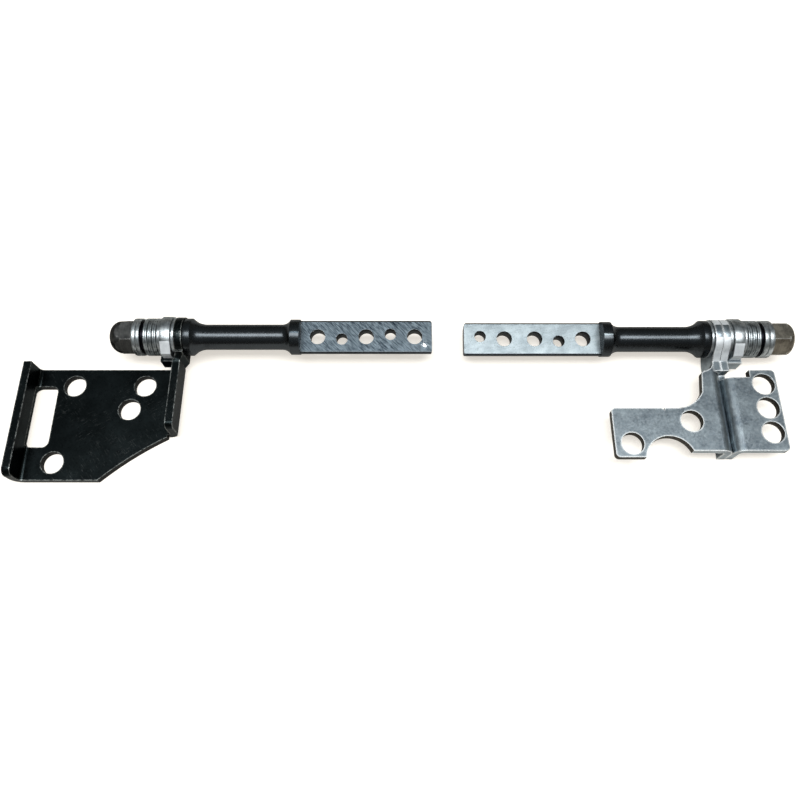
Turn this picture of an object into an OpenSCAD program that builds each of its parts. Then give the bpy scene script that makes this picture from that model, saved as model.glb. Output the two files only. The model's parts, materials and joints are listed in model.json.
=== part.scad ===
// Pair of laptop hinges: a left and a right friction hinge, each with a folded sheet
// bracket, a turned shaft that ends in a flat bar, and a torque stack held by a nut.
// The frame has X along the hinge axis, Y to the back and Z up, and its origin on the
// table, at the middle of the pair's outline seen from above.

/* [Layout] */
// Gap between the free ends of the two bars
bar_gap = 4.65; // [1:0.1:20]
// Height of the left hinge axis above the underside of its plate
left_axis_h = 4.5; // [4:0.1:6]
// Height of the right hinge axis above the lower edge of its webs
right_axis_h = 3.8; // [3.2:0.1:5]
// Tilt of both bars towards the front, as the hinges lie
bar_tilt = 10; // [0:1:90]

/* [Sheet metal] */
// Thickness of the bracket sheet
sheet_t = 1.1; // [0.8:0.05:1.3]
// Inner radius of the folds
bend_r = 0.5; // [0.3:0.05:0.6]
// Radius of the round ears about the axis
ear_r = 2.85; // [2.8:0.05:2.9]

/* [Shaft] */
// Diameter of the rod that the bar and the collar are made from
rod_d = 5.1; // [4.9:0.1:5.3]
// Length of the collar behind the bar
collar_len = 1.35; // [0.8:0.05:2]
// Length of the hollow taper between the collar and the neck
taper_len = 1.3; // [0.7:0.05:1.6]
// Diameter of the neck
neck_d = 3.65; // [3.2:0.05:4]
// Length of the left neck
left_neck_len = 10.8; // [6:0.1:20]
// Length of the right neck
right_neck_len = 9.65; // [6:0.05:20]
// Length of the hollow flare from the neck up to the thrust flange
flare_len = 2.0; // [1:0.1:3]
// Diameter of the thrust flange
flange_d = 5.4; // [5:0.1:5.6]
// Length of the left thrust flange
left_flange_len = 1.05; // [0.6:0.05:3]
// Length of the right thrust flange
right_flange_len = 0.95; // [0.6:0.05:3]
// Diameter of the journal that turns in the ears
journal_d = 3.2; // [3:0.05:3.6]
// Diameter of the threaded end
thread_d = 3.0; // [2.7:0.05:3]
// Width across the two flats that key the washers
key_w = 2.5; // [2.2:0.05:2.7]

/* [Bars] */
// Length of the left bar
left_bar_len = 18.95; // [18.3:0.05:24]
// Length of the right bar
right_bar_len = 19.75; // [19.2:0.05:24]
// Height of the upper flat above the axis
flat_up = 0.3; // [0:0.05:0.6]
// Thickness between the two flats
bar_t = 2.1; // [1.8:0.1:2.6]
// Diameter of the bars across their round sides
bar_w = 4.9; // [4.5:0.1:5.2]
// Radius of the bars' long edges
bar_edge = 0.25; // [0.1:0.05:0.4]
// Corner radius at the bar's free end
bar_corner = 0.5; // [0.2:0.05:1]
// Diameter of the large holes in the bars
large_hole_d = 2.2; // [1.8:0.05:2.4]
// Diameter of the small holes in the bars
small_hole_d = 1.65; // [1.2:0.05:1.8]
// Distance from the free end of the left bar to its first hole
left_first_hole = 2.5; // [1.8:0.05:3]
// Distance from the free end of the right bar to its first hole
right_first_hole = 2.35; // [1.8:0.05:3]
// Distance from one hole to the next
hole_pitch = 3.5; // [2.8:0.05:3.6]
// Distance between the two neighbouring large holes of the right bar
wide_pitch = 4.4; // [3:0.05:4.8]
// Sideways offset of the small holes
small_offset = 0.35; // [0:0.05:0.5]

/* [Torque stack] */
// Outer diameter of the washers and springs
stack_d = 5.4; // [5:0.1:5.6]
// Thickness of the friction washers
friction_t = 0.45; // [0.3:0.05:0.6]
// Thickness of the stop washer with its lug
stop_t = 1.5; // [1:0.05:1.6]
// Width of the stop washer's lug at its tip
lug_w = 1.4; // [1:0.05:1.5]
// Reach of the lug's tip past the other washers
lug_reach = 0.5; // [0.4:0.05:0.55]
// Height of the stop washer's raised rim above the other washers
stop_rise = 0.25; // [0.2:0.05:0.35]
// Angle from the closed stop to the open stop
stop_angle = 150; // [90:1:170]
// Thickness of the bracket's tongue that stops the washer
tongue_t = 0.85; // [0.6:0.05:1]
// Height of the tongue's upper edge below the axis
tongue_down = 0.45; // [0.3:0.05:0.8]
// Height of the tongue
tongue_h = 2.15; // [1.5:0.05:2.2]
// Distance that the tongue runs past the stop washer's outer face
tongue_past = 0.4; // [0:0.05:0.6]
// Thickness of the keyed pressure washer
pressure_t = 0.45; // [0.4:0.05:0.8]
// Thickness of one disc spring
spring_t = 0.27; // [0.2:0.01:0.3]
// Rise of one disc spring's cone
spring_rise = 0.05; // [0.03:0.01:0.15]
// Thickness of the dark spacer ring
spacer_t = 0.45; // [0.3:0.05:0.7]
// Diameter of the dark spacer ring
spacer_d = 5.0; // [4.4:0.1:5.2]
// Thickness of each end washer of the left stack
left_end_t = 0.55; // [0.4:0.05:0.8]
// Thickness of each end washer of the right stack
right_end_t = 0.7; // [0.4:0.05:0.8]
// Width across the flats of the nuts
nut_af = 4.5; // [4.4:0.1:5]
// Length of the left cap nut
left_nut_len = 3.6; // [3.2:0.05:4.2]
// Length of the right nut
right_nut_len = 3.15; // [2.4:0.05:3.6]
// Length of the cap nut's nose
left_nose_len = 1.9; // [1.6:0.1:2.6]
// Length of the right nut's short nose
right_nose_len = 0.9; // [0.5:0.1:1.4]
// Diameter of the flat at the tip of the cap nut
cap_flat_d = 1.4; // [0.8:0.1:1.8]
// Thickness of the cap nut's closed end
cap_wall = 1.1; // [0.9:0.05:1.4]
// Width of the rim round the end of the right nut's hole
nut_rim = 0.15; // [0.1:0.05:0.4]

/* [Left bracket] */
// Width of the left bracket over its web and its flange
plate_w = 22.4; // [21:0.1:30]
// Outward offset of the web from the ear
web_joggle = 0.55; // [0.4:0.05:1]
// Distance from the axis to the plate's back edge
plate_back = 3.65; // [3.65:0.05:4.4]
// Depth of the plate from back to front
plate_depth = 16.75; // [15.6:0.05:20]
// Length of the web from the plate's back edge
web_len = 10.1; // [7:0.1:10.4]
// Radius of the web's upper front corner
web_corner = 0.9; // [0.4:0.05:1.2]
// Height of the side flange above the underside
side_flange_h = 4.2; // [3:0.1:6]
// Radius of the side flange's front corner
flange_corner = 1.1; // [0.5:0.1:1.4]
// Radius of the fillet between the left ear and its web
ear_fillet = 1.2; // [0.6:0.1:1.6]
// Width of the front corner that is cut off, along X
corner_cut_w = 10.5; // [6:0.1:11]
// Depth of the front corner that is cut off, along Y
corner_cut_d = 6.3; // [4:0.1:6.4]
// Hollow of the cut edge, at its middle
corner_hollow = 0.35; // [0.1:0.05:0.8]
// Diameter of the plate's screw holes
screw_hole_d = 3.15; // [2.8:0.05:3.4]
// Distance from the web's face to the hole next to it
hole_b_in = 5.7; // [4.4:0.1:6]
// Distance between the two holes in the back row
back_row = 10.2; // [9.5:0.1:10.4]
// Distance from the plate's back edge to the back row
back_row_y = 2.6; // [2.2:0.1:3]
// Distance of the lone middle hole outside the hole next to the web
hole_c_out = 1.8; // [1.5:0.1:2.2]
// Distance of the lone middle hole in front of the back row
hole_c_y = 3.65; // [3.6:0.05:4.4]
// Distance of the front hole outside the outer hole of the back row
hole_d_out = 1.3; // [0.5:0.1:1.6]
// Distance of the front hole in front of the back row
hole_d_y = 11.6; // [10:0.05:11.8]
// Width of the long slot
slot_w = 3.45; // [2.6:0.05:3.6]
// Length of the long slot
slot_len = 9.25; // [6:0.05:9.6]
// Distance from the plate's back edge to the slot
slot_back = 2.7; // [2.4:0.1:3.4]
// Reach of the slot's outer edge into the flange
slot_into = 0.4; // [0.05:0.05:0.5]
// Corner radius of the long slot
slot_corner = 0.9; // [0.3:0.05:1.2]

/* [Right brackets] */
// Height of the wings' upper face above the axis
wing_up = 0.2; // [0:0.05:0.8]
// Distance from the axis to the front edge of both wings
wing_front = 17.05; // [16.9:0.05:18]
// Distance from the axis to the back edge of the inner wing's neck
neck_back = 5.1; // [4.8:0.05:5.4]
// Width of the inner wing's neck, from the seam
neck_w = 3.3; // [3:0.05:3.9]
// Lean of the neck's free side towards the seam
neck_lean = 0.35; // [0:0.05:0.8]
// Radius of the fillet between the neck's back edge and the ear
neck_fillet = 1.5; // [0.8:0.05:1.6]
// Distance from the axis to the back edge of the inner wing's arm
arm_back = 10.75; // [10:0.05:11]
// Reach of the inner wing from the seam
arm_reach = 16.4; // [16.2:0.1:19]
// Distance from the axis to the front edge of the inner wing's tab
tab_front = 17.95; // [17.5:0.05:18.4]
// Radius of the hollow between the tab and the seam
hollow_r = 3.4; // [2.6:0.1:3.5]
// Distance from the seam to the middle of the hollow
hollow_in = 8.9; // [8.8:0.1:9.4]
// Distance from the axis to the centre of the hollow
hollow_y = 18.3; // [18.1:0.1:18.8]
// Radius of the wings' outer corners
wing_corner = 0.6; // [0.3:0.05:0.8]
// Radius of the hollow corner between neck and arm
inner_corner = 4.4; // [4:0.1:5]
// Width of that corner along the arm
inner_corner_w = 3.9; // [3:0.1:3.95]
// Diameter of the wings' screw holes
wing_hole_d = 3.1; // [2.6:0.05:3.15]
// Distance from the seam to the inner wing's first hole
h1_in = 5.35; // [5.2:0.05:6]
// Distance from the axis to the inner wing's first hole
h1_y = 12.7; // [12.5:0.05:13]
// Distance from the seam to the inner wing's second hole
h2_in = 13.95; // [13.9:0.05:14.2]
// Distance from the axis to the inner wing's second hole
h2_y = 15.95; // [15.5:0.05:16]
// Reach of the outer wing from the seam
outer_reach = 7.5; // [7.5:0.05:9]
// Distance from the axis to the back edge of the outer wing
outer_back = 4.95; // [4.7:0.05:5.1]
// Depth of the relief notch beside the outer fold
relief_y = 1.1; // [0.6:0.05:1.3]
// Width of the relief notch, from the outer web's face
relief_w = 2.75; // [2.2:0.05:2.8]
// Distance from the seam to the row of three holes
row_in = 5.6; // [5.5:0.05:5.65]
// Distance from the axis to the first of the three holes
row_y = 7.15; // [7.1:0.05:7.3]
// Distance between the holes in the row of three
row_pitch = 3.6; // [3.4:0.05:3.7]

/* [Fits] */
// Radial clearance between the journal and what it turns in
journal_play = 0.05; // [0.02:0.01:0.08]
// Clearance between a key flat and the keyed hole round it
key_play = 0.03; // [0.02:0.01:0.05]
// Gap between two faces that slide on each other
slide_gap = 0.02; // [0.01:0.01:0.05]
// Clearance between the stop washer and the bracket's tongue
tongue_play = 0.06; // [0.03:0.01:0.1]

/* [Hidden] */
$fn = 64;
eps = 0.01;
spill = 1;
reach = 60;

black_steel = "#26282b";
nickel = "#c9ccce";
zinc = "#aab2ba";
ground_steel = "#8fa0ab";
dark_ring = "#141516";

// Places along each hinge are distances outwards from the middle of the gap between
// the two bars, and distances in Y are from the hinge axis.
rod_r = rod_d / 2;
bar_start = bar_gap / 2;
fold_r = bend_r + sheet_t;
spring_count = 6;
spring_pitch = spring_t + spring_rise;
tongue_in = stack_d / 2 + tongue_play;
stop_r = stack_d / 2 + stop_rise;
stop_spare = 1;
nose_inset = 0.2;
left_nut_turn = 33;
right_nut_turn = 24;
web_at_ear = web_joggle + sheet_t;

left_collar = bar_start + left_bar_len;
left_flange = left_collar + collar_len + taper_len + left_neck_len + flare_len;
left_ear = left_flange + left_flange_len + slide_gap;
left_stack = left_ear + sheet_t + slide_gap;
left_web = left_ear + web_joggle;

right_collar = bar_start + right_bar_len;
right_flange = right_collar + collar_len + taper_len + right_neck_len + flare_len;
right_thrust = right_flange + right_flange_len + slide_gap;
right_ear = right_thrust + friction_t + slide_gap;
right_seam = right_ear + sheet_t;
right_stack = right_seam + sheet_t + slide_gap;

// Offsets in the torque stack, from the outer face of the ears.
stop_at = friction_t + slide_gap;
pressure_at = stop_at + stop_t + slide_gap;
spring_at = pressure_at + pressure_t + slide_gap;
spacer_at = spring_at + spring_count * spring_pitch + slide_gap;
end_washer_at = spacer_at + spacer_t + slide_gap;
left_nut_at = end_washer_at + 2 * (left_end_t + slide_gap);
right_nut_at = end_washer_at + 2 * (right_end_t + slide_gap);

// The middle of the pair's outline, measured from the middle of the gap and the axis.
middle_x = (right_stack + right_nut_at + right_nut_len - left_web - plate_w) / 2;
middle_y = (ear_r - plate_back - plate_depth) / 2;

// The frame of one hinge: its axis is raised to its height, and the left one is mirrored.
module left_side()
    translate([-middle_x, -middle_y, left_axis_h]) mirror([1, 0, 0]) children();
module right_side() translate([-middle_x, -middle_y, right_axis_h]) children();

// A disc or tube round the hinge axis, from s0 outwards.
module on_axis(s0, len, d) translate([s0, 0, 0]) rotate([0, 90, 0]) cylinder(d = d, h = len);

// Half the section of a hollow flare: an arc that leaves the diameter d tangentially.
module flare_section(len, d, top_d) {
    rise = (top_d - d) / 2;
    arc_r = (len * len + rise * rise) / (2 * rise);
    difference() {
        square([top_d / 2, len]);
        translate([d / 2 + arc_r, 0]) circle(arc_r);
    }
}

// A 2D outline in Y and Z, made a sheet of thickness t from s0 outwards.
module side_sheet(s0, t)
    translate([s0, 0, 0]) rotate([90, 0, 90]) linear_extrude(t) children();

// A 2D section in X and Z, drawn out from the front y0 to the back y1.
module along_y(y0, y1)
    translate([0, y1, 0]) rotate([90, 0, 0]) linear_extrude(y1 - y0) children();

// A rectangle between two corners with round corners of radius r.
module round_rect(x0, y0, x1, y1, r) {
    translate([x0 + r, y0]) square([x1 - x0 - 2 * r, y1 - y0]);
    translate([x0, y0 + r]) square([x1 - x0, y1 - y0 - 2 * r]);
    for (x = [x0 + r, x1 - r], y = [y0 + r, y1 - r]) translate([x, y]) circle(r);
}

// A quarter of a folded sheet's section about a centre, turned by a.
module fold(x, z, a)
    translate([x, z]) rotate(a) intersection() {
        difference() {
            circle(fold_r);
            circle(bend_r);
        }
        square(fold_r + eps);
    }

// The fillet that fills an inner corner at (x, y), opening along the signs sx and sy.
module corner_fill(x, y, r, sx, sy)
    translate([x, y]) scale([sx, sy]) difference() {
        translate([-eps, -eps]) square(r + eps);
        translate([r, r]) circle(r);
    }

// The round shaft behind the bar: collar, neck, flange, journal, keyed part and thread.
module turned_shaft(collar, neck_len, flange_len, journal_len, key_len, thread_len) {
    neck = collar + collar_len + taper_len;
    flange = neck + neck_len + flare_len;
    journal = flange + flange_len;
    keyed = journal + journal_len;
    on_axis(collar, collar_len, rod_d);
    translate([neck, 0, 0]) rotate([0, -90, 0])
        rotate_extrude() flare_section(taper_len, neck_d, rod_d);
    on_axis(neck, neck_len, neck_d);
    translate([flange - flare_len, 0, 0]) rotate([0, 90, 0])
        rotate_extrude() flare_section(flare_len, neck_d, flange_d);
    on_axis(flange, flange_len, flange_d);
    on_axis(journal, journal_len, journal_d);
    intersection() {
        on_axis(keyed, key_len, journal_d);
        translate([keyed, -journal_d, -key_w / 2]) cube([key_len, 2 * journal_d, key_w]);
    }
    on_axis(keyed + key_len, thread_len, thread_d);
}

// The bar is the rod with two milled flats, and has two round corners at its free end.
module flat_bar(len) {
    intersection() {
        side_sheet(bar_start, len) intersection() {
            circle(d = bar_w);
            round_rect(-bar_w / 2, flat_up - bar_t, bar_w / 2, flat_up, bar_edge);
        }
        translate([0, 0, -rod_d]) linear_extrude(2 * rod_d)
            round_rect(bar_start, -bar_w / 2, bar_start + len + bar_w, bar_w / 2, bar_corner);
    }
    // A core joins the bar to the collar.
    translate([0, 0, flat_up - bar_t / 2])
        on_axis(bar_start + len - collar_len, 2 * collar_len, bar_t / 2);
}

module bar_hole(place, offset_y, d)
    translate([bar_start + place, offset_y, -rod_d]) cylinder(d = d, h = 2 * rod_d);

module left_shaft() color(black_steel) left_side() rotate([bar_tilt, 0, 0]) difference() {
    union() {
        turned_shaft(left_collar, left_neck_len, left_flange_len,
                     left_stack + stop_at - left_ear + slide_gap, left_nut_at - stop_at,
                     left_nut_len - cap_wall - slide_gap);
        flat_bar(left_bar_len);
    }
    for (i = [0, 2, 4]) bar_hole(left_first_hole + i * hole_pitch, 0, large_hole_d);
    bar_hole(left_first_hole + hole_pitch, small_offset, small_hole_d);
    bar_hole(left_first_hole + 3 * hole_pitch, -small_offset, small_hole_d);
}

module right_shaft() color(black_steel) right_side() rotate([bar_tilt, 0, 0]) difference() {
    third = right_first_hole + hole_pitch + wide_pitch;
    union() {
        turned_shaft(right_collar, right_neck_len, right_flange_len,
                     right_stack + stop_at - right_thrust + slide_gap,
                     right_nut_at - stop_at, right_nut_len - nut_rim);
        flat_bar(right_bar_len);
    }
    bar_hole(right_first_hole, small_offset, small_hole_d);
    bar_hole(right_first_hole + hole_pitch, 0, large_hole_d);
    bar_hole(third, 0, large_hole_d);
    bar_hole(third + hole_pitch, -small_offset, small_hole_d);
    bar_hole(third + 2 * hole_pitch, 0, large_hole_d);
}

// A plain washer that the journal turns in.
module washer(s0, t) difference() {
    on_axis(s0, t, stack_d);
    on_axis(s0 - eps, t + 2 * eps, journal_d + 2 * journal_play);
}

// The hole with two flats by which a washer is keyed to the shaft.
module key_hole(s0, t) rotate([bar_tilt, 0, 0]) intersection() {
    on_axis(s0 - eps, t + 2 * eps, journal_d + 2 * journal_play);
    translate([s0 - 2 * eps, -journal_d, -key_w / 2 - key_play])
        cube([t + 4 * eps, 2 * journal_d, key_w + 2 * key_play]);
}

module keyed_washer(s0, t, d) difference() {
    on_axis(s0, t, d);
    key_hole(s0, t);
}

// The stop washer turns with the shaft. Its lug rests on the bracket's tongue when the
// lid is shut, and the far end of its raised rim meets the tongue when the lid is open.
module stop_washer(s0) difference() {
    side_sheet(s0, stop_t) stop_outline();
    key_hole(s0, stop_t);
}

module stop_outline() {
    tip = stack_d / 2 + lug_reach;
    low = tongue_play - tongue_down;
    high = low + lug_w;
    touch = atan2(high, tip) + acos(stop_r / norm([high, tip]));
    rim_end = 360 - stop_angle - stop_spare - acos(tongue_in / stop_r);
    circle(stack_d / 2);
    intersection() {
        circle(stop_r);
        polygon([[0, 0], [-2 * stop_r, 0], [-2 * stop_r, 2 * stop_r], [2 * stop_r, 2 * stop_r],
                 [-2 * stop_r * cos(rim_end), 2 * stop_r * sin(rim_end)]]);
    }
    polygon([[0, 0], [-stop_r * cos(touch), stop_r * sin(touch)], [-tip, high], [-tip, low],
             [0, low]]);
}

// A disc spring is a shallow cone; every second one is turned over.
module disc_spring(s0, index) {
    flip = index % 2;
    bore_r = journal_d / 2 + journal_play;
    at_bore = flip * spring_rise;
    at_rim = (1 - flip) * spring_rise;
    translate([s0 + index * spring_pitch, 0, 0]) rotate([0, 90, 0]) rotate_extrude()
        polygon([[bore_r, at_bore], [stack_d / 2, at_rim],
                 [stack_d / 2, at_rim + spring_t], [bore_r, at_bore + spring_t]]);
}

// A hex nut whose nose narrows to a flat of radius narrow.
module nut(s0, len, nose, narrow, bore_len, turn) rotate([turn, 0, 0]) difference() {
    intersection() {
        translate([s0, 0, 0]) rotate([0, 90, 0])
            cylinder(d = nut_af / cos(30), h = len, $fn = 6);
        union() {
            on_axis(s0, len - nose, 2 * nut_af);
            translate([s0 + len - nose, 0, 0]) rotate([0, 90, 0])
                rotate_extrude() nut_nose(nose, narrow);
        }
    }
    on_axis(s0 - eps, bore_len + eps, thread_d + 2 * journal_play);
}

// Half the section of a nut's nose, which is round like a quarter of an ellipse.
module nut_nose(nose, narrow) {
    wide = nut_af / cos(30) / 2 - nose_inset;
    steps = 10;
    polygon(concat([[0, 0]],
        [for (i = [0 : steps]) let (a = 90 * i / steps)
            [narrow + (wide - narrow) * cos(a), nose * sin(a)]],
        [[0, nose]]));
}

// The tongue that stands in the way of the stop washer's lug, bent out of the ear.
module tongue(s0)
    translate([s0 - eps, -tongue_in - tongue_t, -tongue_down - tongue_h])
        cube([stop_at + stop_t + tongue_past + eps, tongue_t, tongue_h]);

// The left bracket's section: web, plate and side flange, with two folds upwards.
module channel_section() {
    low = -left_axis_h;
    outer = left_web + plate_w;
    translate([left_web + fold_r, low]) square([plate_w - 2 * fold_r, sheet_t]);
    fold(left_web + fold_r, low + fold_r, 180);
    fold(outer - fold_r, low + fold_r, 270);
    translate([left_web, low + fold_r]) square([sheet_t, left_axis_h - fold_r]);
    translate([outer - sheet_t, low + fold_r])
        square([sheet_t, side_flange_h - fold_r]);
}

// The left ear seen from the side: a round end that runs into the web.
module left_ear_side() {
    lap = plate_back + sheet_t;
    circle(ear_r);
    translate([-plate_back, -ear_r]) square([plate_back, ear_r]);
    translate([-lap, fold_r - left_axis_h]) square([lap, left_axis_h - fold_r]);
    corner_fill(-ear_r, 0, ear_fillet, -1, 1);
    translate([-ear_r - eps, -eps]) square([ear_r, ear_fillet]);
}

// The ear seen from above: the sheet steps outwards from the ear to the web.
module left_ear_plan() {
    lap = plate_back + sheet_t;
    polygon([[0, 2 * ear_r], [sheet_t, 2 * ear_r], [sheet_t, -ear_r],
             [web_at_ear, -plate_back], [web_at_ear, -lap], [web_joggle, -lap],
             [web_joggle, -plate_back], [0, -ear_r]]);
}

// The waste outside the cut front corner, bounded by a shallow arc.
module corner_waste() {
    a = [corner_cut_w, 0];
    b = [fold_r, corner_cut_d];
    half = norm(b - a) / 2;
    arc_r = (half * half + corner_hollow * corner_hollow) / (2 * corner_hollow);
    inward = [b[1] - a[1], a[0] - b[0]] / norm(b - a);
    centre = (a + b) / 2 - (arc_r - corner_hollow) * inward;
    intersection() {
        translate([-eps, -eps]) square([corner_cut_w + eps, corner_cut_d + eps]);
        translate(centre) circle(arc_r);
    }
}

module left_bracket() color(black_steel) left_side() {
    back = -plate_back;
    front = back - plate_depth;
    outer = left_web + plate_w;
    b_at = [left_web + hole_b_in, back - back_row_y];
    difference() {
        union() {
            along_y(front, back) channel_section();
            intersection() {
                side_sheet(left_ear, web_at_ear) left_ear_side();
                translate([left_ear, 0, -reach]) linear_extrude(2 * reach) left_ear_plan();
            }
            tongue(left_ear + sheet_t);
        }
        on_axis(left_ear - eps, sheet_t + 2 * eps, journal_d + 2 * journal_play);
        // The web ends short of the cut corner, with a relief in the plate.
        translate([left_web - eps, front - eps, -left_axis_h - eps])
            cube([fold_r + eps, plate_depth - web_len + eps, 2 * left_axis_h]);
        translate([left_web - eps, back - web_len, 0]) rotate([90, 0, 90])
            linear_extrude(sheet_t + 2 * eps) corner_fill(0, 0, web_corner, 1, -1);
        translate([left_web, front, -left_axis_h - eps])
            linear_extrude(2 * left_axis_h) corner_waste();
        // Round front end of the side flange.
        translate([outer - fold_r - eps, front, side_flange_h - left_axis_h])
            rotate([90, 0, 90]) linear_extrude(fold_r + 2 * eps)
                corner_fill(0, 0, flange_corner, 1, -1);
        for (p = [b_at, b_at + [back_row, 0], b_at + [hole_c_out, -hole_c_y],
                  b_at + [back_row + hole_d_out, -hole_d_y]])
            translate([p[0], p[1], -left_axis_h - eps])
                cylinder(d = screw_hole_d, h = sheet_t + 2 * eps);
        translate([0, 0, -left_axis_h - eps]) linear_extrude(fold_r + eps)
            round_rect(outer - sheet_t + slot_into - slot_w, back - slot_back - slot_len,
                       outer - sheet_t + slot_into, back - slot_back, slot_corner);
    }
}

// The side of a right web: a round ear, a sloping shoulder and a long web below it.
module right_web_side() {
    shoulder = 112;
    web_end = neck_back - neck_fillet;
    circle(ear_r);
    polygon([[0, -ear_r], [0, 0], [ear_r * cos(shoulder), ear_r * sin(shoulder)],
             [-web_end, wing_up], [-neck_back, wing_up], [-neck_back, -right_axis_h],
             [-ear_r, -right_axis_h]]);
    translate([-wing_front, -right_axis_h])
        square([wing_front - neck_back + eps, right_axis_h + wing_up - fold_r]);
}

// A wing's fold runs along Y at the top of a web; side is -1 inwards and 1 outwards.
module wing_section(side, len) {
    top = wing_up;
    scale([side, 1]) {
        translate([fold_r, top - sheet_t]) square([len - fold_r, sheet_t]);
        fold(fold_r, top - fold_r, 90);
    }
}

// The hollow corner between neck and arm: an arc that runs into the arm's back edge.
module inner_corner_fill() {
    rise = inner_corner - sqrt(inner_corner * inner_corner - inner_corner_w * inner_corner_w);
    difference() {
        translate([-neck_w - inner_corner_w, -arm_back - eps])
            square([inner_corner_w + eps, rise + eps]);
        translate([-neck_w - inner_corner_w, inner_corner - arm_back]) circle(inner_corner);
    }
}

module inner_wing_outline() {
    lean_x = neck_lean - neck_w;
    difference() {
        union() {
            polygon([[spill, -wing_front], [-neck_w, -wing_front],
                     [-neck_w, inner_corner / 2 - arm_back],
                     [lean_x, -neck_back - wing_corner],
                     [lean_x + wing_corner, -neck_back], [spill, -neck_back]]);
            translate([lean_x + wing_corner, -neck_back - wing_corner]) circle(wing_corner);
            round_rect(-arm_reach, -tab_front, -hollow_in, -arm_back, wing_corner);
            translate([-hollow_in - eps, -wing_front])
                square([hollow_in, wing_front - arm_back]);
            inner_corner_fill();
            translate([-sheet_t, -neck_back - eps]) square([2 * sheet_t, neck_fillet + eps]);
            corner_fill(-sheet_t, -neck_back, neck_fillet, -1, 1);
        }
        translate([-hollow_in, -hollow_y]) circle(hollow_r);
        translate([-hollow_in, -tab_front - spill])
            square([hollow_in + 2 * spill, tab_front + spill - wing_front]);
        translate([-h1_in, -h1_y]) circle(d = wing_hole_d);
        translate([-h2_in, -h2_y]) circle(d = wing_hole_d);
    }
}

module right_inner_bracket() color(zinc) right_side() {
    difference() {
        union() {
            side_sheet(right_ear, sheet_t) right_web_side();
            translate([right_seam, 0, 0]) intersection() {
                along_y(-tab_front - spill, neck_fillet - neck_back)
                    wing_section(-1, arm_reach + spill);
                translate([0, 0, -reach]) linear_extrude(2 * reach) inner_wing_outline();
            }
        }
        on_axis(right_ear - eps, sheet_t + 2 * eps, journal_d + 2 * journal_play);
    }
}

module outer_wing_outline() {
    difference() {
        round_rect(-spill, -wing_front, outer_reach, -outer_back, wing_corner);
        translate([-2 * spill, -outer_back - relief_y])
            square([2 * spill + sheet_t + relief_w, relief_y + spill]);
        for (i = [0 : 2])
            translate([row_in, -row_y - i * row_pitch]) circle(d = wing_hole_d);
    }
}

module right_outer_bracket() color(zinc) right_side() {
    difference() {
        union() {
            side_sheet(right_seam, sheet_t) right_web_side();
            translate([right_seam, 0, 0]) intersection() {
                along_y(-wing_front - spill, -outer_back)
                    wing_section(1, outer_reach + spill);
                translate([0, 0, -reach]) linear_extrude(2 * reach) outer_wing_outline();
            }
            tongue(right_seam + sheet_t);
        }
        on_axis(right_seam - eps, sheet_t + 2 * eps, journal_d + 2 * journal_play);
    }
}

module left_friction_washer() color(nickel) left_side() washer(left_stack, friction_t);
module left_stop_washer() color(nickel) left_side() stop_washer(left_stack + stop_at);
module left_pressure_washer()
    color(nickel) left_side() keyed_washer(left_stack + pressure_at, pressure_t, stack_d);
module left_disc_spring(index)
    color(nickel) left_side() disc_spring(left_stack + spring_at, index);
module left_spacer_ring()
    color(dark_ring) left_side() keyed_washer(left_stack + spacer_at, spacer_t, spacer_d);
module left_end_washer(index)
    color(nickel) left_side()
        keyed_washer(left_stack + end_washer_at + index * (left_end_t + slide_gap),
                     left_end_t, stack_d);
module left_nut()
    color(black_steel) left_side()
        nut(left_stack + left_nut_at, left_nut_len, left_nose_len, cap_flat_d / 2,
            left_nut_len - cap_wall, left_nut_turn);

module right_thrust_washer() color(nickel) right_side() washer(right_thrust, friction_t);
module right_friction_washer() color(nickel) right_side() washer(right_stack, friction_t);
module right_stop_washer() color(nickel) right_side() stop_washer(right_stack + stop_at);
module right_pressure_washer()
    color(nickel) right_side() keyed_washer(right_stack + pressure_at, pressure_t, stack_d);
module right_disc_spring(index)
    color(nickel) right_side() disc_spring(right_stack + spring_at, index);
module right_spacer_ring()
    color(dark_ring) right_side() keyed_washer(right_stack + spacer_at, spacer_t, spacer_d);
module right_end_washer(index)
    color(nickel) right_side()
        keyed_washer(right_stack + end_washer_at + index * (right_end_t + slide_gap),
                     right_end_t, stack_d);
module right_nut()
    color(nickel) right_side()
        nut(right_stack + right_nut_at, right_nut_len, right_nose_len,
            thread_d / 2 + journal_play + nut_rim, right_nut_len + eps, right_nut_turn);

left_bracket();
left_shaft();
left_friction_washer();
left_stop_washer();
left_pressure_washer();
left_disc_spring(0);  // left_disc_spring_1
left_disc_spring(1);  // left_disc_spring_2
left_disc_spring(2);  // left_disc_spring_3
left_disc_spring(3);  // left_disc_spring_4
left_disc_spring(4);  // left_disc_spring_5
left_disc_spring(5);  // left_disc_spring_6
left_spacer_ring();
left_end_washer(0);  // left_end_washer_1
left_end_washer(1);  // left_end_washer_2
left_nut();
right_inner_bracket();
right_outer_bracket();
right_shaft();
right_thrust_washer();
right_friction_washer();
right_stop_washer();
right_pressure_washer();
right_disc_spring(0);  // right_disc_spring_1
right_disc_spring(1);  // right_disc_spring_2
right_disc_spring(2);  // right_disc_spring_3
right_disc_spring(3);  // right_disc_spring_4
right_disc_spring(4);  // right_disc_spring_5
right_disc_spring(5);  // right_disc_spring_6
right_spacer_ring();
right_end_washer(0);  // right_end_washer_1
right_end_washer(1);  // right_end_washer_2
right_nut();
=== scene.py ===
# %% [markdown]
# # A pair of laptop hinges
# A laptop's lid is carried by two friction hinges. Each one has a folded steel bracket
# that is screwed into the base, a turned shaft whose flat end is screwed to the screen,
# and a stack of washers and disc springs that a nut presses together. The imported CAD
# model brings every piece in its place. This script gives the pieces rounded edges and
# plated, worn surfaces, and adds a table, light and the view of the photograph.

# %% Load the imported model
import json
import math

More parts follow.
